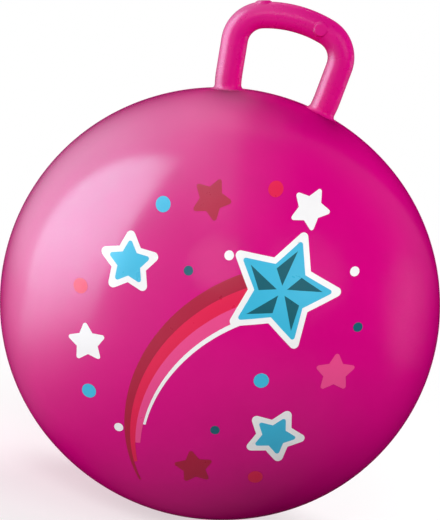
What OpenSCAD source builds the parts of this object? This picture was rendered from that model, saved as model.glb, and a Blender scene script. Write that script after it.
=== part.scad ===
// Hopper ball: a hollow moulded ball with a loop handle, a stopper and a star print.
// Lengths are in millimetres. X runs along the crossbar, the print faces -Y and Z is up.

/* [Ball] */
// Width of the blown-up ball at its middle
ball_w = 500; // [420:5:580]
// Height of the blown-up ball from pole to pole, before it flattens on the ground
ball_h = 490; // [410:5:570]
// Wall of the moulded skin
skin_wall = 1.1; // [0.8:0.1:3]
// Depth by which the ball flattens where it rests
rest_dip = 1.5; // [0.5:0.5:5]

/* [Handle] */
// Diameter of the hollow grip tube
tube_d = 30; // [24:1:38]
// Wall of the grip tube
tube_wall = 3; // [2:0.5:5]
// Distance between the middles of the two feet on the ball
foot_spread = 108; // [90:2:140]
// Radius of the rounding where a foot grows out of the ball
root_fillet = 5; // [3:1:16]
// Radius of the slight bend just above each foot
foot_bend_r = 120; // [60:5:200]
// Lean of each leg away from the middle, in degrees
leg_lean = 5.5; // [0:0.5:9]
// Radius of the two upper corners, along the middle of the tube
corner_r = 33; // [24:1:42]
// Radius of the crossbar's bow, along the middle of the tube
bow_r = 132; // [100:2:260]
// Height of the crossbar's top above the ball's pole
handle_rise = 104; // [90:1:140]

/* [Bosses] */
// Diameter of the round boss on top of the crossbar and of the pad under the stopper
boss_d = 15; // [11:0.5:18]
// Height of the top boss above the tube
boss_rise = 1.8; // [0.8:0.2:4]
// Height of the stopper's pad above the tube
pad_rise = 0.4; // [0.2:0.1:2]
// Rounding of the boss's rim
boss_round = 1; // [0.2:0.2:1.6]
// Distance of the top boss from the middle of the crossbar
boss_off = 36; // [20:1:40]
// Distance of the stopper from the middle of the crossbar
valve_off = 29.5; // [15:0.5:34]

/* [Valve] */
// Outer diameter of the valve's sleeve
sleeve_d = 12; // [10:0.5:13]
// Bore of the valve's sleeve
sleeve_bore = 9; // [7:0.5:10]
// Length of the valve's sleeve
sleeve_len = 12; // [8:0.5:14]
// Diameter of the stopper's head
head_d = 14.6; // [11:0.2:18]
// Thickness of the stopper's head
head_t = 1.9; // [1.2:0.1:4]
// Rounding of the head's rim
head_round = 1.2; // [0.2:0.1:1.2]
// Gap between the head and its pad
head_gap = 0.3; // [0.1:0.1:0.6]
// Gap between the stem and the bore, on each side
stem_gap = 0.1; // [0.05:0.01:0.1]
// Gap between the sealing rings and the bore, on each side
ring_gap = 0.04; // [0.02:0.01:0.05]
// Width of a sealing ring, and of the space between two of them
ring_w = 1.2; // [0.6:0.1:2]
// Number of sealing rings
ring_count = 3; // [1:1:4]
// Length of the tapered tip that leads the stopper in
tip_len = 2.5; // [1:0.5:4]
// Diameter at the end of the tapered tip
tip_d = 6; // [3:0.5:6.5]

/* [Print] */
// Radius of the printed area on the front of the ball
print_r = 185; // [150:5:190]
// Thickness of the ink film
ink_t = 0.25; // [0.2:0.05:0.5]
// Radius of the big star to its tips, before they are rounded
star_r = 68; // [50:1:80]
// Radius of the middle stars
middle_star_r = 38; // [25:1:45]
// Radius of the small stars
small_star_r = 24; // [16:1:30]
// Width of the white border round the stars
star_border = 6; // [3:0.5:8]
// Rounding of the star's tips
star_round = 5; // [1:0.5:6]
// Radius of a large dot
dot_r = 8; // [4:0.5:12]
// Radius of a small dot
small_dot_r = 5; // [3:0.5:8]
// Radius of the tail's outer edge
tail_r = 182; // [150:1:200]
// Width of each coloured stripe of the tail, where it leaves the star
stripe_w = 16; // [10:1:18]
// Width of the white stripe along the tail's inner edge
white_stripe_w = 6; // [3:0.5:9]
// Direction from the middle of the tail's curve to the big star
tail_start = 110; // [95:1:125]
// Angle through which the tail's longest stripe sweeps
tail_sweep = 106; // [90:1:112]
// Angle by which each stripe ends before the one outside it
tail_step = 8; // [4:1:12]

/* [Hidden] */

ball_fn = 180;
tube_fn = 64;
small_fn = 48;
overrun = 1;
// The pieces of the loop stop this far from their joints. A slice of a ball fills each joint:
// it is this wide, and the ball is this much larger in radius than the bar.
joint_gap = 0.4;
joint_w = 4;
joint_swell = 0.05;

skin_colour = [0.84, 0.0, 0.5];
white_colour = [0.96, 0.96, 0.96];
blue_colour = [0.24, 0.72, 0.86];
teal_colour = [0.1, 0.37, 0.43];
crimson_colour = [0.68, 0.11, 0.24];
coral_colour = [0.89, 0.13, 0.31];
pink_colour = [0.93, 0.29, 0.55];

// The ball's section is an oval of four arcs. The middles of a side arc and of the upper or
// lower arc are the ends of the long side of a triangle with sides of 3, 4 and 5 steps, and
// the arcs meet on the line through them.
arc_step = (ball_w - ball_h) / 4;
side_shift = 3 * arc_step;
pole_shift = 4 * arc_step;
side_r = ball_w / 2 - side_shift;
pole_r = ball_h / 2 + pole_shift;
meet_z = pole_r * 4 / 5 - pole_shift;
rest_z = rest_dip - ball_h / 2;
middle_z = ball_h / 2 - rest_dip;

// The feet stand square on the upper arc, so their axes meet at its centre.
tube_r = tube_d / 2;
bore_r = tube_r - tube_wall;
foot_angle = asin(foot_spread / 2 / pole_r);
// The rounding dips this far into the ball, so that the two surfaces cross cleanly.
root_sink_share = 0.005;
root_reach = pole_r + root_fillet * (1 - root_sink_share);
root_top = sqrt(pow(root_reach, 2) - pow(tube_r + root_fillet, 2));
root_edge = (tube_r + root_fillet) * pole_r / (pole_r + root_fillet);

// The loop's middle line, as points [x, z] from the ball's middle.
foot_top = [0, -pole_shift] + root_top * along(foot_angle);
bend_mid = foot_top - foot_bend_r * outward(foot_angle);
leg_start = bend_mid + foot_bend_r * outward(leg_lean);
bow_mid = [0, ball_h / 2 + handle_rise - tube_r - bow_r];
corner_line = leg_start - corner_r * outward(leg_lean) - bow_mid;
leg_half = corner_line * along(leg_lean);
leg_len = sqrt(pow(leg_half, 2) + pow(bow_r - corner_r, 2) - corner_line * corner_line) - leg_half;
corner_mid = bow_mid + corner_line + leg_len * along(leg_lean);
bow_half = atan2(corner_mid[0] - bow_mid[0], corner_mid[1] - bow_mid[1]);

// The stopper's parts, as heights along its axis from the middle of the tube.
pad_top = tube_r + pad_rise;
head_base = pad_top + head_gap;
sleeve_base = pad_top - sleeve_len;
stem_r = sleeve_bore / 2 - stem_gap;
ring_r = sleeve_bore / 2 - ring_gap;

// A star's notches lie at this share of its radius.
notch_share = 0.52;
facet_base_share = 0.1;
facet_notch_share = 0.84;
facet_tip_share = 0.78;
arc_steps = 6;

// Places in the print, from its middle, as shares of its radius.
star_place_shares = [0.32, 0.38];
blue_star_shares = [[-0.56, 0.3], [0.5, -0.46]];
blue_star_turns = [12, -14];
crimson_star_shares = [[-0.2, 0.76], [0.1, -0.78]];
crimson_star_turns = [-10, 22];
white_star_shares = [[-0.68, -0.22], [0.36, 0.84]];
white_star_turns = [20, -16];
pink_star_shares = [[0.74, -0.02]];
pink_star_turns = [8];
white_dot_shares = [[-0.02, 0.5], [-0.38, -0.66], [0.7, 0.56]];
blue_dot_shares = [[-0.46, 0.66], [0.34, -0.14], [-0.6, -0.5]];
teal_dot_shares = [[-0.22, 0.36], [0.16, -0.5], [0.8, 0.26]];
coral_dot_shares = [[-0.8, 0.08], [0.46, -0.76], [0.14, 0.9]];

star_turn = -8;
star_place = print_r * star_place_shares;
tail_w = 3 * stripe_w + white_stripe_w;
tail_mid = star_place - polar(tail_r - tail_w / 2, tail_start);
// All blades of the tail would meet in one tip at this angle, beyond the ends of its stripes.
tip_angle = tail_sweep + 1.5 * tail_step;

// Unit steps in the plane of the loop: along a line that leans by angle a, and square to it.
function along(a) = [sin(a), cos(a)];
function outward(a) = [cos(a), -sin(a)];
function unit(v) = v / norm(v);
// Angle that the gap beside a joint takes on an arc of radius r.
function gap_angle(r) = asin(joint_gap / r);
function polar(r, a) = r * [cos(a), sin(a)];

// Points of an arc of radius r that rounds the corner q between p and s.
function corner(p, q, s, r) =
    let (u = unit(p - q), v = unit(s - q), half = acos(u * v) / 2,
         mid = q + unit(u + v) * r / sin(half),
         from = q + u * r / tan(half) - mid,
         first = atan2(from[1], from[0]),
         side = sign(u[1] * v[0] - u[0] * v[1]),
         turn = side * (180 - 2 * half))
    [for (i = [0:arc_steps]) mid + polar(r, first + turn * i / arc_steps)];

// Points of a five-pointed star, first sharp and then with its tips rounded.
function sharp_star(r) = [for (i = [0:9]) polar(i % 2 == 0 ? r : r * notch_share, 90 + 36 * i)];
function star_points(r, round) =
    let (p = sharp_star(r))
    [for (i = [0:9]) each i % 2 == 0 ? corner(p[(i + 9) % 10], p[i], p[(i + 1) % 10], round) : [p[i]]];

// Distance from a star's middle to the lines of its edges.
function edge_distance(r) =
    let (p = sharp_star(r))
    abs(p[0][0] * p[1][1] - p[0][1] * p[1][0]) / norm(p[1] - p[0]);
// Radius of the star that lies inside a star of radius r, a border's width from its edges.
function inner_star_r(r) = r * (1 - star_border / edge_distance(r));

// Right half of the ball's section, grown by grow and cut off below floor_z.
module half_oval(grow, floor_z) {
    side_mid = [side_shift, 0];
    low_mid = [0, -pole_shift];
    meet_far = low_mid + ball_w * [3, 4];
    intersection() {
        union() {
            intersection() {
                translate(side_mid) circle(side_r + grow, $fn = ball_fn);
                polygon([side_mid, [meet_far[0], -meet_far[1]], meet_far]);
            }
            for (half = [0, 1]) mirror([0, half]) intersection() {
                translate(low_mid) circle(pole_r + grow, $fn = ball_fn);
                polygon([low_mid, side_mid, meet_far, [0, meet_far[1]]]);
            }
        }
        translate([0, floor_z]) square(2 * [ball_w, ball_w]);
    }
}

// Puts a shape on the axis of the right foot, with the middle of the upper arc at its origin.
module on_foot() {
    translate([0, 0, -pole_shift]) rotate([0, foot_angle, 0]) children();
}

module both_sides() {
    for (side = [0, 1]) mirror([side, 0, 0]) children();
}

// Puts a shape on the crossbar's middle line, at distance x from its middle, square to the tube.
module on_bow(x) {
    translate([0, 0, bow_mid[1]]) rotate([0, asin(x / bow_r), 0]) translate([0, 0, bow_r]) children();
}

// Puts a shape on the stopper's axis, which points to the front.
module on_valve() {
    on_bow(valve_off) rotate([90, 0, 0]) children();
}

// The rounded root of a foot, without its bore.
module root_flare() {
    rotate_extrude($fn = tube_fn) difference() {
        translate([0, pole_r - root_fillet]) square([root_edge, root_top - pole_r + root_fillet]);
        translate([tube_r + root_fillet, root_top]) circle(root_fillet, $fn = tube_fn);
    }
}

// Part of a ring of a round bar in the plane of the loop, between two angles from +X.
module arc_bar(bar_r, arc_r, from, to) {
    rotate([90, 0, 0]) rotate_extrude(angle = to - from, start = from, $fn = ball_fn)
        translate([arc_r, 0]) circle(bar_r, $fn = tube_fn);
}

// Fills the joint at the origin of two pieces of a round bar, and goes on from there.
module joint(bar_r) {
    rotate_extrude($fn = tube_fn) intersection() {
        circle(bar_r + joint_swell, $fn = tube_fn);
        translate([0, -joint_w / 2]) square([2 * bar_r, joint_w]);
    }
    children();
}

// A round bar from the origin that bends towards -X by the angle turn, and what follows.
// It starts at the angle from on its arc.
module bend(bar_r, arc_r, from, turn) {
    translate([-arc_r, 0, 0]) {
        arc_bar(bar_r, arc_r, from, turn - gap_angle(arc_r));
        rotate([0, -turn, 0]) translate([arc_r, 0, 0]) joint(bar_r) children();
    }
}

// A straight round bar of length len up from a joint, and what follows.
module straight(bar_r, len) {
    translate([0, 0, joint_gap]) cylinder(r = bar_r, h = len - 2 * joint_gap, $fn = tube_fn);
    translate([0, 0, len]) joint(bar_r) children();
}

// A round bar along the whole loop.
module loop(bar_r) {
    both_sides() on_foot() translate([0, 0, root_top])
        bend(bar_r, foot_bend_r, 0, foot_angle - leg_lean)
        straight(bar_r, leg_len)
        bend(bar_r, corner_r, gap_angle(corner_r), 90 + leg_lean - bow_half);
    translate([0, 0, bow_mid[1]])
        arc_bar(bar_r, bow_r, 90 - bow_half + gap_angle(bow_r), 90 + bow_half - gap_angle(bow_r));
}

// A round button with a rounded rim, from the origin up.
module button(d, h, round) {
    rotate_extrude($fn = small_fn) {
        square([d / 2 - round, h]);
        square([d / 2, h - round]);
        translate([d / 2 - round, h - round]) intersection() {
            circle(round, $fn = small_fn);
            square(2 * round);
        }
    }
}

module ball_shell() {
    color(skin_colour) translate([0, 0, middle_z]) difference() {
        union() {
            rotate_extrude($fn = ball_fn) half_oval(0, rest_z);
            both_sides() on_foot() root_flare();
        }
        rotate_extrude($fn = ball_fn) half_oval(-skin_wall, rest_z + skin_wall);
        both_sides() on_foot() translate([0, 0, pole_r - root_fillet])
            cylinder(r = bore_r, h = 2 * root_fillet + overrun, $fn = tube_fn);
    }
}

module handle() {
    color(skin_colour) translate([0, 0, middle_z]) difference() {
        union() {
            loop(tube_r);
            on_bow(-boss_off) button(boss_d, tube_r + boss_rise, boss_round);
            on_valve() cylinder(d = boss_d, h = pad_top, $fn = small_fn);
        }
        loop(bore_r);
        both_sides() on_foot() translate([0, 0, root_top]) mirror([0, 0, 1])
            cylinder(r = bore_r, h = overrun, $fn = tube_fn);
        on_valve() cylinder(d = sleeve_d, h = pad_top + overrun, $fn = small_fn);
    }
}

module valve_sleeve() {
    color(skin_colour) translate([0, 0, middle_z]) on_valve() translate([0, 0, sleeve_base]) difference() {
        cylinder(d = sleeve_d, h = sleeve_len, $fn = small_fn);
        translate([0, 0, -overrun]) cylinder(d = sleeve_bore, h = sleeve_len + 2 * overrun, $fn = small_fn);
    }
}

module valve_plug() {
    color(skin_colour) translate([0, 0, middle_z]) on_valve() {
        translate([0, 0, head_base]) button(head_d, head_t, head_round);
        translate([0, 0, sleeve_base]) cylinder(r = stem_r, h = head_base - sleeve_base, $fn = small_fn);
        for (i = [0:ring_count - 1]) translate([0, 0, sleeve_base + ring_w * (1 + 2 * i)])
            cylinder(r = ring_r, h = ring_w, $fn = small_fn);
        translate([0, 0, sleeve_base - tip_len])
            cylinder(d1 = tip_d, r2 = stem_r, h = tip_len, $fn = small_fn);
    }
}

// Puts flat ink shapes on the front of the ball, as a thin film on its skin between the heights
// where the side arcs end.
module ink(colour) {
    color(colour) translate([0, 0, middle_z]) intersection() {
        rotate_extrude($fn = ball_fn) intersection() {
            translate([side_shift, 0]) difference() {
                circle(side_r + ink_t, $fn = ball_fn);
                circle(side_r, $fn = ball_fn);
            }
            translate([0, -meet_z]) square([ball_w, 2 * meet_z]);
        }
        rotate([90, 0, 0]) linear_extrude(ball_w / 2 + overrun) children();
    }
}

module star(r, round) {
    polygon(star_points(r, round));
}

// Copies a flat shape to each place, turned by the angle of the same rank.
module at_places(shares, turns) {
    for (i = [0:len(shares) - 1]) translate(print_r * shares[i]) rotate(turns[i]) children();
}

module dots(shares, r) {
    for (place = shares) translate(print_r * place) circle(r, $fn = small_fn);
}

module at_star() {
    translate(star_place) rotate(star_turn) children();
}

// The outlines of all loose stars and dots, which the tail's stripes stay clear of.
module loose_motifs() {
    at_places(blue_star_shares, blue_star_turns) star(middle_star_r, star_round);
    at_places(crimson_star_shares, crimson_star_turns) star(small_star_r, star_round / 2);
    at_places(white_star_shares, white_star_turns) star(small_star_r, star_round / 2);
    at_places(pink_star_shares, pink_star_turns) star(small_star_r, star_round / 2);
    dots(concat(blue_dot_shares, coral_dot_shares), dot_r);
    dots(concat(white_dot_shares, teal_dot_shares), small_dot_r);
}

// One blade of the tail: w wide at the star, and narrowing towards the common tip.
module blade(w) {
    tip = polar(tail_r, tail_start + tip_angle);
    inner_mid = -polar(w / (1 - cos(tip_angle)), tail_start);
    difference() {
        circle(tail_r, $fn = ball_fn);
        translate(inner_mid) circle(norm(tip - inner_mid), $fn = ball_fn);
    }
}

// The stripe between the widths from_w and to_w at the star, which ends after sweep degrees.
module stripe(from_w, to_w, sweep) {
    far = 2 * tail_r;
    difference() {
        translate(tail_mid) intersection() {
            difference() {
                blade(to_w);
                if (from_w > 0) blade(from_w);
            }
            polygon([[0, 0], polar(far, tail_start), polar(far, tail_start + sweep / 2),
                     polar(far, tail_start + sweep)]);
        }
        at_star() star(star_r, star_round);
        loose_motifs();
    }
}

// The coloured stripe of the given rank, counted from the outside.
module coloured_stripe(rank) {
    stripe(stripe_w * rank, stripe_w * (rank + 1), tail_sweep - tail_step * rank);
}

// The dark halves of the big star's five points.
module facets(r) {
    for (i = [0:4]) rotate(72 * i) polygon([
        polar(r * facet_base_share, 108),
        polar(r * notch_share * facet_notch_share, 126),
        polar(r * facet_tip_share, 90)
    ]);
}

module print_white() {
    ink(white_colour) {
        at_star() difference() {
            star(star_r, star_round);
            star(inner_star_r(star_r), star_round / 2);
        }
        at_places(blue_star_shares, blue_star_turns) difference() {
            star(middle_star_r, star_round);
            star(inner_star_r(middle_star_r), star_round / 2);
        }
        at_places(white_star_shares, white_star_turns) star(small_star_r, star_round / 2);
        stripe(3 * stripe_w, tail_w, tail_sweep - 3 * tail_step);
        dots(white_dot_shares, small_dot_r);
    }
}

module print_blue() {
    ink(blue_colour) {
        at_star() difference() {
            star(inner_star_r(star_r), star_round / 2);
            facets(inner_star_r(star_r));
        }
        at_places(blue_star_shares, blue_star_turns) star(inner_star_r(middle_star_r), star_round / 2);
        dots(blue_dot_shares, dot_r);
    }
}

module print_teal() {
    ink(teal_colour) {
        at_star() facets(inner_star_r(star_r));
        dots(teal_dot_shares, small_dot_r);
    }
}

module print_crimson() {
    ink(crimson_colour) {
        coloured_stripe(0);
        at_places(crimson_star_shares, crimson_star_turns) star(small_star_r, star_round / 2);
    }
}

module print_coral() {
    ink(coral_colour) {
        coloured_stripe(1);
        dots(coral_dot_shares, dot_r);
    }
}

module print_pink() {
    ink(pink_colour) {
        coloured_stripe(2);
        at_places(pink_star_shares, pink_star_turns) star(small_star_r, star_round / 2);
    }
}

ball_shell();
handle();
valve_sleeve();
valve_plug();
print_white();
print_blue();
print_teal();
print_crimson();
print_coral();
print_pink();
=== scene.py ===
"""Looks of a hollow vinyl hopper ball with a loop handle, a stopper and a star print.

Lengths are in metres, in the part's own frame: X runs along the crossbar, the print faces -Y
and Z is up from the flat that the ball rests on.
"""

import math

import bmesh
import bpy
from mathutils import Matrix, Vector


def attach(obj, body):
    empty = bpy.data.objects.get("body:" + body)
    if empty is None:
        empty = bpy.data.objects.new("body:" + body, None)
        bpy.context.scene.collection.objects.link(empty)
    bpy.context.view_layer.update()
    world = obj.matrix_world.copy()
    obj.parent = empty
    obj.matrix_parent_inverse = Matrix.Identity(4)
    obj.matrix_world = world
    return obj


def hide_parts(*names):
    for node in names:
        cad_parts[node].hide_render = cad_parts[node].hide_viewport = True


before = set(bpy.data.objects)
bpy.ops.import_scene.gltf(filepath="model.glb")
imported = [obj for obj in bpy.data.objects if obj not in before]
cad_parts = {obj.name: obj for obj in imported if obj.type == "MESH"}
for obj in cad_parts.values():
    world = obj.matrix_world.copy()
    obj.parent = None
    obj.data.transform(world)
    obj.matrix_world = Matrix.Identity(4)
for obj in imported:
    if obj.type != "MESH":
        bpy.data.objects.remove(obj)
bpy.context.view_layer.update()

# Ball: its section is an oval of two side arcs and two pole arcs, cut flat at the bottom. The
# middles of the arcs lie 3 and 4 steps off the ball's middle, so that they meet without a corner.
BALL_W = 0.5
BALL_H = 0.49
REST_DIP = 0.0015
ARC_STEP = (BALL_W - BALL_H) / 4
SIDE_SHIFT = 3 * ARC_STEP
POLE_SHIFT = 4 * ARC_STEP
SIDE_R = BALL_W / 2 - SIDE_SHIFT
POLE_R = BALL_H / 2 + POLE_SHIFT
SIDE_HALF = math.atan2(POLE_SHIFT, SIDE_SHIFT)
MIDDLE_Z = BALL_H / 2 - REST_DIP
MIDDLE = Vector((0, 0, MIDDLE_Z))
REST_LEAN = -math.asin((POLE_SHIFT + MIDDLE_Z) / POLE_R)
SKIN_RINGS = 200
SKIN_AROUND = 320

# Handle: a round bar with a rounded root, a bent foot, a leg, a corner and half of a bow
TUBE_R = 0.015
FOOT_SPREAD = 0.108
ROOT_FILLET = 0.005
ROOT_DEPTH = 0.004
FOOT_BEND_R = 0.12
LEG_LEAN = math.radians(5.5)
CORNER_R = 0.033
BOW_R = 0.132
HANDLE_RISE = 0.104
FOOT_ANGLE = math.asin(FOOT_SPREAD / 2 / POLE_R)
POLE_MIDDLE = MIDDLE - Vector((0, 0, POLE_SHIFT))
BOW_MIDDLE = MIDDLE + Vector((0, 0, BALL_H / 2 + HANDLE_RISE - TUBE_R - BOW_R))
ROOT_RINGS = 14
FOOT_RINGS = 6
LEG_RINGS = 8
CORNER_RINGS = 28
BOW_RINGS = 14
LOOP_AROUND = 72

# Buttons on the crossbar: the boss on its top and the pad round the valve
BUTTON_D = 0.015
BOSS_RISE = 0.0012
BOSS_OFF = 0.036
PAD_RISE = 0.0004
VALVE_OFF = 0.0295
BUTTON_AROUND = 64
BUTTON_FLAT_RINGS = 8
BUTTON_EDGE_RINGS = 12
BUTTON_CORE_R = 0.0012
BUTTON_RIM = 0.0009
BUTTON_FOOT = 0.0016
BUTTON_SKIRT = 0.0004
BUTTON_DIP = 0.0006
BUTTON_ROOT = 0.006

# Stopper and the hole for its sleeve
SLEEVE_LEN = 0.012
SLEEVE_D = 0.012
SLEEVE_BORE = 0.009
HOLE_LAP = 0.0001
HOLE_R = SLEEVE_D / 2 - HOLE_LAP
HOLE_MARGIN = 0.0004
HOLE_WALL = 0.004
CUT_START = 0.0005
CUT_END = 0.03
HEAD_D = 0.0146
HEAD_T = 0.0019
HEAD_GAP = 0.0003
HEAD_RIM = 0.0008
HEAD_DOME = 0.00015
RIM_TURN = math.radians(75)
RIM_POINTS = 8
DOME_SHARES = (0.8, 0.6, 0.4, 0.2)
STEM_GAP = 0.0001
RING_GAP = 0.00004
RING_W = 0.0012
RING_COUNT = 3
TIP_LEN = 0.0025
TIP_D = 0.006
EDGE_SOFT = 0.0002

# Print: an ink stands INK_PROUD out of the skin and reaches INK_SUNK into it. Its film in the CAD
# mesh is INK_FILM thick.
INK_PROUD = 0.00012
INK_SUNK = 0.00012
INK_FILM = 0.00025
INK_EDGE = 0.004
INK_CUTS = 5

# Meshes
SHARP_EDGE = math.radians(50)
WELD = 1e-6

# Photograph, in pixels of its 440 x 520, and the camera
PHOTO_H = 520
BALL_ROW = 303.2
FOCAL_PX = 2636
CAMERA_FAR = 3.0
CAMERA_ABOVE = math.radians(10)
CAMERA_ROLL = math.radians(15)
CLIP_START = 0.05
CLIP_END = 200

# Vinyl and ink
SKIN_COLOUR = (0.66, 0.0005, 0.212)
INK_COLOURS = {
    "white": (0.93, 0.92, 0.93),
    "blue": (0.047, 0.48, 0.72),
    "teal": (0.011, 0.115, 0.155),
    "crimson": (0.42, 0.012, 0.047),
    "coral": (0.77, 0.014, 0.08),
    "pink": (0.84, 0.069, 0.266),
}
SKIN_ROUGH = 0.18
HANDLE_ROUGH = 0.28
STOPPER_ROUGH = 0.3
INK_ROUGH = 0.3
UNEVEN_ROUGH = 0.03
DARK_SHARE = 0.95
VINYL_IOR = 1.6
SKIN_WAVE = 0.0006
HANDLE_WAVE = 0.0001
STOPPER_WAVE = 0.00005
PEEL_DEPTH = 0.000012
# Noises, as (scale, detail)
TINT_NOISE = (25, 4)
ROUGH_NOISE = (60, 5)
WAVE_NOISE = (9, 1)
PEEL_NOISE = (900, 2)
NOISE_LOW = 0.3
NOISE_HIGH = 0.7

# Floor and world
FLOOR_R = 60
FLOOR_SIDES = 64
FLOOR_DROP = 0.0002
FLOOR_BOUNCE = (0.25, 0.25, 0.25, 1)
FLOOR_PALE = (0.95, 0.95, 0.95, 1)
NEAR_R = 0.3
FAR_R = 1.2
NEAR_GLOW = 0.6
WORLD_LIGHT = 0.1

# Tent round the ball
TENT_R = 1.0
TENT_SEGMENTS = 96
TENT_RINGS = 48
TENT_LIFT = 0.0003

# Soft panels on the tent, each with its colour, its glow and its edges. An edge is an axis in the
# camera's terms (right, up, towards it) and the shares along it where the panel is dark and lit.
PLAIN = (1.06, 0.97, 1.12)
FILL = (0.88, 0.98, 1.13)
COOL = (0.5, 0.98, 1.04)
PANELS = [
    (PLAIN, 1.0, [((-0.75, 0.6, 0.3), 0.1, 1.1)]),
    (FILL, 2.3, [((-0.87, 0.49, 0), 0.4, 1.05), ((0, 0, 1), -1.35, 0.15), ((0, 0, -1), -0.95, -0.35),
                 ((0, 1, 0.5), -0.45, 0.05)]),
    (COOL, 4.4, [((-0.64, 0.05, 0.77), 0.355, 0.44), ((-0.8, 0.37, -0.47), 0.385, 0.445),
                 ((0, 1, 0), -0.3, 0.48), ((0, 0, 1), -0.85, 0.35), ((-1, 0, 0), 0.05, 0.55)]),
    (PLAIN, 0.52, [((-1, 0, 0), -0.2, -0.05), ((1, 0, 0), -0.35, -0.05), ((0, 1, 0), 0.3, 0.9),
                   ((0, 0, 1), -1.1, -0.1)]),
    (PLAIN, 0.11, [((-0.2, -1, 0.3), 0.2, 0.8), ((0, 0, 1), 0, 0.6)]),
    (PLAIN, 0.1, [((0.6, 1, 0), 0.3, 0.75), ((0, -0.55, 0.83), -0.7, -0.67), ((0, 0, -1), -0.2, 0.4)]),
]

# Lamps, each with its direction in the camera's terms, its distance and its watts
LAMP_D = 1.2
LAMPS = {
    "front": ((0, 0.35, 1), 2.6, 42),
    "front_right": ((0.8, 0.3, 0.8), 2.0, 11.5),
    "right_side": ((1, -0.05, -0.35), 2.0, 25),
    "top_side": ((0.1, 1, -0.5), 2.0, 29),
    "left_side": ((-1, 0.15, -0.6), 2.0, 17),
    "left_low": ((-1, -0.45, 0.1), 2.0, 22),
    "back": ((0, -0.2, -1), 2.0, 7),
}


def steps(first, last, count):
    """Evenly spaced values from first to last."""
    return [first + (last - first) * i / (count - 1) for i in range(count)]


# Camera

def camera_axes():
    """Right, up and forward of the camera while it looks straight at the ball's middle."""
    forward = Vector((0, math.cos(CAMERA_ABOVE), -math.sin(CAMERA_ABOVE)))
    level_right = Vector((1, 0, 0))
    level_up = level_right.cross(forward)
    right = math.cos(CAMERA_ROLL) * level_right + math.sin(CAMERA_ROLL) * level_up
    up = math.cos(CAMERA_ROLL) * level_up - math.sin(CAMERA_ROLL) * level_right
    return right, up, forward


RIGHT, UP, FORWARD = camera_axes()


def make_camera():
    """The camera at the photograph's angle, with the ball's middle at its height in the picture."""
    nod = math.atan((BALL_ROW - PHOTO_H / 2) / FOCAL_PX)
    forward = math.cos(nod) * FORWARD + math.sin(nod) * UP
    up = math.cos(nod) * UP - math.sin(nod) * FORWARD
    data = bpy.data.cameras.new("camera")
    data.sensor_fit = "VERTICAL"
    data.lens = FOCAL_PX / PHOTO_H * data.sensor_height
    data.clip_start = CLIP_START
    data.clip_end = CLIP_END
    camera = bpy.data.objects.new("camera", data)
    bpy.context.collection.objects.link(camera)
    turn = Matrix((RIGHT, up, -forward)).transposed().to_4x4()
    camera.matrix_world = Matrix.Translation(MIDDLE - CAMERA_FAR * FORWARD) @ turn
    bpy.context.scene.camera = camera


def seen_from_camera(right, up, towards):
    """A direction in the part's frame from its share to the right, up and towards the camera."""
    return (right * RIGHT + up * UP - towards * FORWARD).normalized()


# Meshes

def mesh_object(name, points, faces, smooth=True):
    mesh = bpy.data.meshes.new(name)
    mesh.from_pydata([tuple(p) for p in points], [], faces)
    mesh.update()
    mesh.polygons.foreach_set("use_smooth", [smooth] * len(mesh.polygons))
    obj = bpy.data.objects.new(name, mesh)
    bpy.context.collection.objects.link(obj)
    return obj


def sleeve_faces(rings, around, first=0):
    """Quads between successive rings of points, each ring closed."""
    faces = []
    for i in range(rings - 1):
        for j in range(around):
            a, b = first + i * around, first + (i + 1) * around
            k = (j + 1) % around
            faces.append((a + j, a + k, b + k, b + j))
    return faces


def turned(profile, around):
    """Points and faces of a closed solid: a profile from axis to axis, as (radius, height)."""
    points = [(0, 0, profile[0][1])]
    for r, h in profile[1:-1]:
        for j in range(around):
            a = 2 * math.pi * j / around
            points.append((r * math.cos(a), r * math.sin(a), h))
    points.append((0, 0, profile[-1][1]))
    rings = len(profile) - 2
    faces = sleeve_faces(rings, around, 1)
    last = 1 + (rings - 1) * around
    for j in range(around):
        k = (j + 1) % around
        faces.append((0, 1 + k, 1 + j))
        faces.append((len(points) - 1, last + j, last + k))
    return points, faces


def apply_modifiers(obj):
    graph = bpy.context.evaluated_depsgraph_get()
    mesh = bpy.data.meshes.new_from_object(obj.evaluated_get(graph))
    obj.modifiers.clear()
    obj.data = mesh


def join(parts):
    """Joins meshes into the first of them."""
    with bpy.context.temp_override(active_object=parts[0], selected_editable_objects=parts):
        bpy.ops.object.join()


def fix_normals(obj):
    """Turns all faces outwards and shades them smooth up to the sharp edges."""
    bm = bmesh.new()
    bm.from_mesh(obj.data)
    bmesh.ops.recalc_face_normals(bm, faces=bm.faces)
    for e in bm.edges:
        e.smooth = len(e.link_faces) == 2 and e.calc_face_angle(0) < SHARP_EDGE
    for f in bm.faces:
        f.smooth = True
    bm.to_mesh(obj.data)
    bm.free()


# Ball

def oval(a):
    """Radius and height over the ball's middle of the skin's section, where its normal leans up by a."""
    if abs(a) <= SIDE_HALF:
        middle, r = (SIDE_SHIFT, 0), SIDE_R
    else:
        middle, r = (0, -math.copysign(POLE_SHIFT, a)), POLE_R
    return middle[0] + r * math.cos(a), middle[1] + r * math.sin(a)


def make_skin():
    """The smooth skin, from the flat that it rests on to its pole."""
    section = [oval(a) for a in steps(REST_LEAN, math.pi / 2, SKIN_RINGS)[:-1]]
    flat = [(0, -MIDDLE_Z), (section[0][0] / 2, -MIDDLE_Z)]
    profile = flat + section + [(0, BALL_H / 2)]
    points, faces = turned([(r, h + MIDDLE_Z) for r, h in profile], SKIN_AROUND)
    skin = mesh_object("skin", points, faces)
    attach(skin, "ball")
    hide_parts("ball_shell")
    return skin


# Handle

def along(a):
    """The direction of a bar that leans outwards by a."""
    return Vector((math.sin(a), 0, math.cos(a)))


def outward(a):
    """The direction square to a bar that leans outwards by a, away from the loop's middle."""
    return Vector((math.cos(a), 0, -math.sin(a)))


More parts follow.
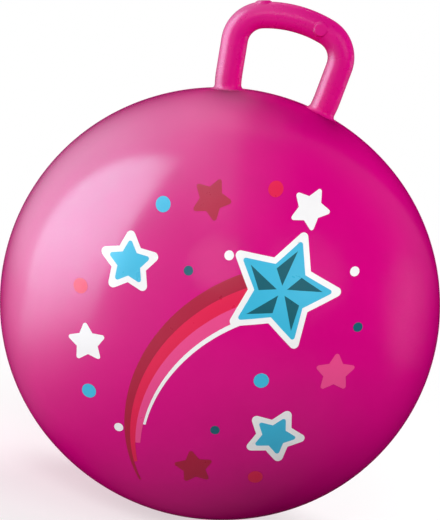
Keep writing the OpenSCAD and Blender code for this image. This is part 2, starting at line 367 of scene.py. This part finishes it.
def root_line():
    """The root of a leg, as (point, lean, radius): it runs out on the skin and dips under it."""
    root_r = TUBE_R + ROOT_FILLET
    reach = POLE_R + ROOT_FILLET
    root_top = math.sqrt(reach ** 2 - root_r ** 2)
    axis = along(FOOT_ANGLE)
    line = [(POLE_MIDDLE + (POLE_R - ROOT_DEPTH) * axis, FOOT_ANGLE, root_r)]
    for t in steps(math.acos(root_r / reach), 0, ROOT_RINGS):
        place = POLE_MIDDLE + (root_top - ROOT_FILLET * math.sin(t)) * axis
        line.append((place, FOOT_ANGLE, TUBE_R + ROOT_FILLET * (1 - math.cos(t))))
    return line


def arc_line(middle, radius, start, end, rings):
    """The bar along an arc, after its start, as (point, lean, radius)."""
    return [(middle + radius * outward(a), a, TUBE_R) for a in steps(start, end, rings)[1:]]


def loop_line():
    """Half of the loop, from the ball to the middle of the crossbar, as (point, lean, radius)."""
    line = root_line()
    bend_middle = line[-1][0] - FOOT_BEND_R * outward(FOOT_ANGLE)
    line += arc_line(bend_middle, FOOT_BEND_R, FOOT_ANGLE, LEG_LEAN, FOOT_RINGS)
    leg_start = line[-1][0]
    # The leg ends where the corner's arc touches the bow from inside.
    to_corner = leg_start - CORNER_R * outward(LEG_LEAN) - BOW_MIDDLE
    half = to_corner.dot(along(LEG_LEAN))
    leg_len = math.sqrt(half ** 2 + (BOW_R - CORNER_R) ** 2 - to_corner.length_squared) - half
    for share in steps(0, 1, LEG_RINGS)[1:]:
        line.append((leg_start + share * leg_len * along(LEG_LEAN), LEG_LEAN, TUBE_R))
    to_corner += leg_len * along(LEG_LEAN)
    top_lean = math.atan2(to_corner.x, to_corner.z) - math.pi / 2
    line += arc_line(BOW_MIDDLE + to_corner, CORNER_R, LEG_LEAN, top_lean, CORNER_RINGS)
    line += arc_line(BOW_MIDDLE, BOW_R, top_lean, -math.pi / 2, BOW_RINGS)
    return line


def loop_mesh():
    """The whole loop as one closed tube: a ring for each point, capped inside the ball."""
    half = loop_line()
    mirrored = [(Vector((-p.x, 0, p.z)), -math.pi - a, r) for p, a, r in reversed(half[:-1])]
    points = []
    for p, a, r in half + mirrored:
        for j in range(LOOP_AROUND):
            t = 2 * math.pi * j / LOOP_AROUND
            points.append(p + r * (math.cos(t) * outward(a) + math.sin(t) * Vector((0, 1, 0))))
    rings = len(half) + len(mirrored)
    faces = [tuple(reversed(f)) for f in sleeve_faces(rings, LOOP_AROUND)]
    last = (rings - 1) * LOOP_AROUND
    faces.append(tuple(range(LOOP_AROUND)))
    faces.append(tuple(last + j for j in reversed(range(LOOP_AROUND))))
    return points, faces


def bow_spot(off, front):
    """A spot on the crossbar: its place in the middle of the bar and its axes along it, across, out."""
    a = math.asin(off / BOW_R)
    up = Vector((math.sin(a), 0, math.cos(a)))
    along_bar = Vector((math.cos(a), 0, -math.sin(a)))
    place = BOW_MIDDLE + BOW_R * up
    if front:
        return place, along_bar, up, Vector((0, -1, 0))
    return place, along_bar, Vector((0, 1, 0)), up


def placed(points, spot):
    """Points moved to a spot on the crossbar, with their height along its outward axis."""
    place, along_bar, across, out = spot
    turn = Matrix((along_bar, across, out)).transposed()
    return [place + turn @ Vector(p) for p in points]


def button_rings(rise, hole_r):
    """Rings of a button as (radius, share of its flat top in the height, depth under that)."""
    flat_r = BUTTON_D / 2 - BUTTON_RIM
    edge_w = BUTTON_RIM + BUTTON_FOOT
    rings = []
    first_r = BUTTON_CORE_R
    if hole_r:
        rings += [(hole_r, 1.0, rise + HOLE_WALL), (hole_r, 1.0, 0.0)]
        first_r = hole_r + HOLE_MARGIN
    rings += [(r, 1.0, 0.0) for r in steps(first_r, flat_r, BUTTON_FLAT_RINGS)]
    for t in steps(0, 1, BUTTON_EDGE_RINGS)[1:]:
        rings.append((flat_r + t * edge_w, 0.5 + 0.5 * math.cos(math.pi * t), 0.0))
    rings.append((flat_r + edge_w + BUTTON_SKIRT, 0.0, BUTTON_DIP))
    return rings


def button_mesh(spot, rise, hole_r=0):
    """A flat-topped button that grows softly out of the bar, whole or round a hole."""
    place, along_bar, across, out = spot
    top = TUBE_R + rise
    rings = button_rings(rise, hole_r)
    points = []
    for r, share, depth in rings:
        for j in range(BUTTON_AROUND):
            t = 2 * math.pi * j / BUTTON_AROUND
            side = r * math.sin(t)
            tube = math.sqrt(TUBE_R ** 2 - side ** 2)
            height = share * top + (1 - share) * tube - depth
            points.append(place + r * math.cos(t) * along_bar + side * across + height * out)
    faces = sleeve_faces(len(rings), BUTTON_AROUND)
    last = (len(rings) - 1) * BUTTON_AROUND
    pairs = [(j, (j + 1) % BUTTON_AROUND) for j in range(BUTTON_AROUND)]
    if hole_r:
        return points, faces + [(last + k, last + j, j, k) for j, k in pairs]
    middle = len(points)
    points += [place + top * out, place + (TUBE_R - BUTTON_ROOT) * out]
    faces += [(middle, j, k) for j, k in pairs]
    faces += [(middle + 1, last + k, last + j) for j, k in pairs]
    return points, faces


def cut_hole(handle, valve):
    """Cuts the hole for the valve's sleeve into the front of the crossbar."""
    profile = [(0, CUT_START), (HOLE_R, CUT_START), (HOLE_R, CUT_END), (0, CUT_END)]
    points, faces = turned(profile, BUTTON_AROUND)
    cutter = mesh_object("cutter", placed(points, valve), faces, False)
    cut = handle.modifiers.new("hole", "BOOLEAN")
    cut.operation = "DIFFERENCE"
    cut.solver = "EXACT"
    cut.object = cutter
    apply_modifiers(handle)
    bpy.data.objects.remove(cutter)


def make_handle(valve):
    """The loop with its boss and the pad round the valve, which don't show in the ball's gloss."""
    handle = mesh_object("handle", *loop_mesh())
    cut_hole(handle, valve)
    pad = mesh_object("pad", *button_mesh(valve, PAD_RISE, HOLE_R))
    boss = mesh_object("boss", *button_mesh(bow_spot(-BOSS_OFF, False), BOSS_RISE))
    join([handle, pad, boss])
    fix_normals(handle)
    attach(handle, "ball")
    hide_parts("handle")
    handle.visible_glossy = False
    return handle


# Stopper

def stem_profile(inner, base):
    """The stopper's tip and ringed stem, as (radius, height over the middle of the crossbar)."""
    stem_r = SLEEVE_BORE / 2 - STEM_GAP
    ring_r = SLEEVE_BORE / 2 - RING_GAP
    tip = inner - TIP_LEN
    profile = [(0, tip), (TIP_D / 2 - EDGE_SOFT, tip), (TIP_D / 2, tip + EDGE_SOFT), (stem_r, inner)]
    for i in range(RING_COUNT):
        low = inner + RING_W * (1 + 2 * i)
        high = low + RING_W
        profile += [(stem_r, low), (ring_r, low + EDGE_SOFT), (ring_r, high - EDGE_SOFT), (stem_r, high)]
    return profile + [(stem_r, base)]


def head_profile(base):
    """The stopper's head with its rounded rim and slightly domed top, in the same terms."""
    head_r = HEAD_D / 2
    top = base + HEAD_T
    rim_middle = (head_r - HEAD_RIM, top - HEAD_DOME - HEAD_RIM)
    profile = [(head_r - EDGE_SOFT, base), (head_r, base + EDGE_SOFT)]
    for a in steps(0, RIM_TURN, RIM_POINTS):
        profile.append((rim_middle[0] + HEAD_RIM * math.cos(a), rim_middle[1] + HEAD_RIM * math.sin(a)))
    flat_r, flat_h = profile[-1]
    for share in DOME_SHARES:
        profile.append((flat_r * share, flat_h + (top - flat_h) * (1 - share ** 2)))
    return profile + [(0, top)]


def make_stopper(valve):
    pad_top = TUBE_R + PAD_RISE
    base = pad_top + HEAD_GAP
    profile = stem_profile(pad_top - SLEEVE_LEN, base) + head_profile(base)
    points, faces = turned(profile, BUTTON_AROUND)
    stopper = mesh_object("stopper", placed(points, valve), faces)
    fix_normals(stopper)
    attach(stopper, "stopper")
    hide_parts("valve_plug")
    return stopper


# Print

def on_oval(p, lift):
    """The point of the side arcs nearest to p, lifted, the normal there and p's height over the skin."""
    around = math.hypot(p.x, p.y)
    out, up = around - SIDE_SHIFT, p.z - MIDDLE_Z
    far = math.hypot(out, up)
    normal = Vector((p.x / around * out / far, p.y / around * out / far, up / far))
    middle = Vector((p.x / around * SIDE_SHIFT, p.y / around * SIDE_SHIFT, MIDDLE_Z))
    return middle + (SIDE_R + lift) * normal, normal, far - SIDE_R


def cut_finer(bm, side):
    """Halves the long edges of the film's top and of its underside, so that they can follow the skin."""
    for _ in range(INK_CUTS):
        flat = [e for e in bm.edges if e.verts[0][side] == e.verts[1][side]]
        too_long = [e for e in flat if e.calc_length() > INK_EDGE]
        if not too_long:
            break
        bmesh.ops.subdivide_edges(bm, edges=too_long, cuts=1)
        bmesh.ops.triangulate(bm, faces=bm.faces)


def ink_mesh(name, film):
    """A film of the CAD print, cut finer and laid on the smooth skin with its normals."""
    bm = bmesh.new()
    bm.from_mesh(film)
    bmesh.ops.remove_doubles(bm, verts=bm.verts, dist=WELD)
    side = bm.verts.layers.float.new("side")
    for v in bm.verts:
        v[side] = 1.0 if on_oval(v.co, 0)[2] > INK_FILM / 2 else 0.0
    cut_finer(bm, side)
    normals = []
    for v in bm.verts:
        v.co, normal, _ = on_oval(v.co, INK_PROUD if v[side] > 0.5 else -INK_SUNK)
        normals.append(normal)
    for f in bm.faces:
        f.smooth = True
    mesh = bpy.data.meshes.new(name)
    bm.to_mesh(mesh)
    bm.free()
    mesh.normals_split_custom_set_from_vertices(normals)
    return mesh


def make_ink(colour):
    name = "ink_" + colour
    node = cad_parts["print_" + colour]
    ink = bpy.data.objects.new(name, ink_mesh(name, node.data))
    bpy.context.collection.objects.link(ink)
    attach(ink, "ball")
    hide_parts("print_" + colour)
    return ink


# Materials

class Nodes:
    """Short calls that add nodes to a tree."""

    def __init__(self, tree):
        self.tree = tree
        self.tree.nodes.clear()

    def add(self, kind, **values):
        node = self.tree.nodes.new(kind)
        for name, value in values.items():
            setattr(node, name, value)
        return node

    def link(self, a, b):
        self.tree.links.new(a, b)

    def maths(self, operation, a, b):
        node = self.add("ShaderNodeMath", operation=operation)
        self.link(a, node.inputs[0])
        self.link(b, node.inputs[1])
        return node.outputs[0]


def new_material(name):
    """A material, its empty tree and its output node."""
    mat = bpy.data.materials.new(name)
    mat.use_nodes = True
    n = Nodes(mat.node_tree)
    return mat, n, n.add("ShaderNodeOutputMaterial")


def noise(n, scale, detail):
    place = n.add("ShaderNodeTexCoord")
    tex = n.add("ShaderNodeTexNoise")
    tex.inputs["Scale"].default_value = scale
    tex.inputs["Detail"].default_value = detail
    n.link(place.outputs["Object"], tex.inputs["Vector"])
    return tex.outputs["Fac"]


def spread(n, value, low, high):
    """A noise spread from low to high."""
    node = n.add("ShaderNodeMapRange")
    node.inputs["From Min"].default_value = NOISE_LOW
    node.inputs["From Max"].default_value = NOISE_HIGH
    node.inputs["To Min"].default_value = low
    node.inputs["To Max"].default_value = high
    n.link(value, node.inputs["Value"])
    return node.outputs["Result"]


def bump(n, height, depth, normal=None):
    node = n.add("ShaderNodeBump")
    node.inputs["Distance"].default_value = depth
    n.link(height, node.inputs["Height"])
    if normal:
        n.link(normal, node.inputs["Normal"])
    return node.outputs["Normal"]


def vinyl(name, colour, rough, wave=SKIN_WAVE):
    """Glossy soft vinyl: faint orange peel, slow waves in the skin and a slightly uneven gloss."""
    mat, n, out = new_material(name)
    shader = n.add("ShaderNodeBsdfPrincipled")
    shader.inputs["IOR"].default_value = VINYL_IOR
    n.link(shader.outputs["BSDF"], out.inputs["Surface"])
    tint = n.add("ShaderNodeMixRGB")
    tint.inputs["Color1"].default_value = (*[c * DARK_SHARE for c in colour], 1)
    tint.inputs["Color2"].default_value = (*colour, 1)
    n.link(spread(n, noise(n, *TINT_NOISE), 0, 1), tint.inputs["Fac"])
    n.link(tint.outputs["Color"], shader.inputs["Base Color"])
    uneven = spread(n, noise(n, *ROUGH_NOISE), rough - UNEVEN_ROUGH, rough + UNEVEN_ROUGH)
    n.link(uneven, shader.inputs["Roughness"])
    waves = bump(n, noise(n, *WAVE_NOISE), wave)
    n.link(bump(n, noise(n, *PEEL_NOISE), PEEL_DEPTH, waves), shader.inputs["Normal"])
    return mat


def paint(obj, mat):
    if obj.material_slots:
        for slot in obj.material_slots:
            slot.material = mat
    else:
        obj.data.materials.append(mat)


# Studio

def seen(n, otherwise):
    """1 for camera, glossy and transmission rays, and another value for the rest."""
    path = n.add("ShaderNodeLightPath")
    seen_ray = n.maths("MAXIMUM", path.outputs["Is Camera Ray"], path.outputs["Is Glossy Ray"])
    seen_ray = n.maths("MAXIMUM", seen_ray, path.outputs["Is Transmission Ray"])
    value = n.add("ShaderNodeMapRange")
    value.inputs["To Min"].default_value = otherwise
    n.link(seen_ray, value.inputs["Value"])
    return value.outputs["Result"]


def panel(n, towards, level, edges):
    """Glow of one soft panel on the tent: each edge fades between two shares along an axis."""
    value = None
    for axis, dark, lit in edges:
        share = n.add("ShaderNodeVectorMath", operation="DOT_PRODUCT")
        n.link(towards, share.inputs[0])
        share.inputs[1].default_value = seen_from_camera(*axis)
        ramp = n.add("ShaderNodeMapRange", interpolation_type="SMOOTHSTEP")
        ramp.inputs["From Min"].default_value = dark
        ramp.inputs["From Max"].default_value = lit
        ramp.inputs["To Max"].default_value = level if value is None else 1.0
        n.link(share.outputs["Value"], ramp.inputs["Value"])
        fade = ramp.outputs["Result"]
        value = fade if value is None else n.maths("MULTIPLY", value, fade)
    return value


def panels_light(n, towards):
    """The light of all panels together."""
    total = None
    for tint, glow, edges in PANELS:
        light = n.add("ShaderNodeEmission")
        light.inputs["Color"].default_value = (*tint, 1)
        n.link(panel(n, towards, glow, edges), light.inputs["Strength"])
        if total is None:
            total = light.outputs["Emission"]
        else:
            both = n.add("ShaderNodeAddShader")
            n.link(total, both.inputs[0])
            n.link(light.outputs["Emission"], both.inputs[1])
            total = both.outputs[0]
    return total


def make_tent():
    """A dark tent with glowing panels, flat just over the floor and seen in the gloss alone."""
    bpy.ops.mesh.primitive_uv_sphere_add(segments=TENT_SEGMENTS, ring_count=TENT_RINGS, radius=TENT_R)
    tent = bpy.context.object
    tent.name = "tent"
    tent.location = MIDDLE
    for v in tent.data.vertices:
        v.co.z = max(v.co.z, TENT_LIFT - MIDDLE_Z)
    tent.visible_camera = False
    tent.visible_diffuse = False
    tent.visible_shadow = False
    tent.visible_transmission = False
    mat, n, out = new_material("tent")
    place = n.add("ShaderNodeTexCoord")
    towards = n.add("ShaderNodeVectorMath", operation="NORMALIZE")
    n.link(place.outputs["Object"], towards.inputs[0])
    n.link(panels_light(n, towards.outputs["Vector"]), out.inputs["Surface"])
    paint(tent, mat)


def make_world():
    """A white world where it is seen or reflected, which adds a little soft light all round."""
    world = bpy.data.worlds.new("studio")
    bpy.context.scene.world = world
    world.use_nodes = True
    n = Nodes(world.node_tree)
    out = n.add("ShaderNodeOutputWorld")
    back = n.add("ShaderNodeBackground")
    back.inputs["Color"].default_value = (1, 1, 1, 1)
    n.link(back.outputs["Background"], out.inputs["Surface"])
    n.link(seen(n, WORLD_LIGHT), back.inputs["Strength"])


def floor_material():
    """Pale paper that takes shadows and turns into plain white light away from the ball."""
    mat, n, out = new_material("floor")
    paper = n.add("ShaderNodeBsdfDiffuse")
    tone = n.add("ShaderNodeMixRGB")
    tone.inputs["Color1"].default_value = FLOOR_BOUNCE
    tone.inputs["Color2"].default_value = FLOOR_PALE
    n.link(seen(n, 0.0), tone.inputs["Fac"])
    n.link(tone.outputs["Color"], paper.inputs["Color"])
    light = n.add("ShaderNodeEmission")
    place = n.add("ShaderNodeTexCoord")
    length = n.add("ShaderNodeVectorMath", operation="LENGTH")
    n.link(place.outputs["Object"], length.inputs[0])
    far = n.add("ShaderNodeMapRange", interpolation_type="SMOOTHSTEP")
    far.inputs["From Min"].default_value = NEAR_R
    far.inputs["From Max"].default_value = FAR_R
    far.inputs["To Min"].default_value = NEAR_GLOW
    n.link(length.outputs["Value"], far.inputs["Value"])
    mix = n.add("ShaderNodeMixShader")
    n.link(n.maths("MULTIPLY", far.outputs["Result"], seen(n, 0.0)), mix.inputs["Fac"])
    n.link(paper.outputs["BSDF"], mix.inputs[1])
    n.link(light.outputs["Emission"], mix.inputs[2])
    n.link(mix.outputs["Shader"], out.inputs["Surface"])
    return mat


def make_floor():
    angles = steps(0, 2 * math.pi, FLOOR_SIDES + 1)[:-1]
    edge = [(FLOOR_R * math.cos(t), FLOOR_R * math.sin(t), 0) for t in angles]
    floor = mesh_object("floor", edge, [tuple(range(FLOOR_SIDES))], False)
    floor.location.z = -FLOOR_DROP
    floor.visible_shadow = False
    paint(floor, floor_material())


def make_lamp(name, axis, far, watts):
    """A soft lamp that lights the ball from a direction, without showing in its gloss."""
    data = bpy.data.lights.new(name, "AREA")
    data.shape = "DISK"
    data.size = LAMP_D
    data.energy = watts
    lamp = bpy.data.objects.new(name, data)
    bpy.context.collection.objects.link(lamp)
    direction = seen_from_camera(*axis)
    turn = direction.to_track_quat("Z", "Y").to_matrix().to_4x4()
    lamp.matrix_world = Matrix.Translation(MIDDLE + far * direction) @ turn
    lamp.visible_glossy = False


def make_object():
    """All pieces of the object, each with its material."""
    paint(make_skin(), vinyl("skin_vinyl", SKIN_COLOUR, SKIN_ROUGH))
    valve = bow_spot(VALVE_OFF, True)
    paint(make_handle(valve), vinyl("handle_vinyl", SKIN_COLOUR, HANDLE_ROUGH, HANDLE_WAVE))
    plug_vinyl = vinyl("stopper_vinyl", SKIN_COLOUR, STOPPER_ROUGH, STOPPER_WAVE)
    paint(make_stopper(valve), plug_vinyl)
    paint(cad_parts["valve_sleeve"], plug_vinyl)
    for colour, value in INK_COLOURS.items():
        paint(make_ink(colour), vinyl("ink_" + colour, value, INK_ROUGH))


def main():
    bpy.context.scene.view_settings.view_transform = "Standard"
    make_camera()
    make_object()
    make_world()
    make_floor()
    make_tent()
    for name, (axis, far, watts) in LAMPS.items():
        make_lamp(name, axis, far, watts)


main()
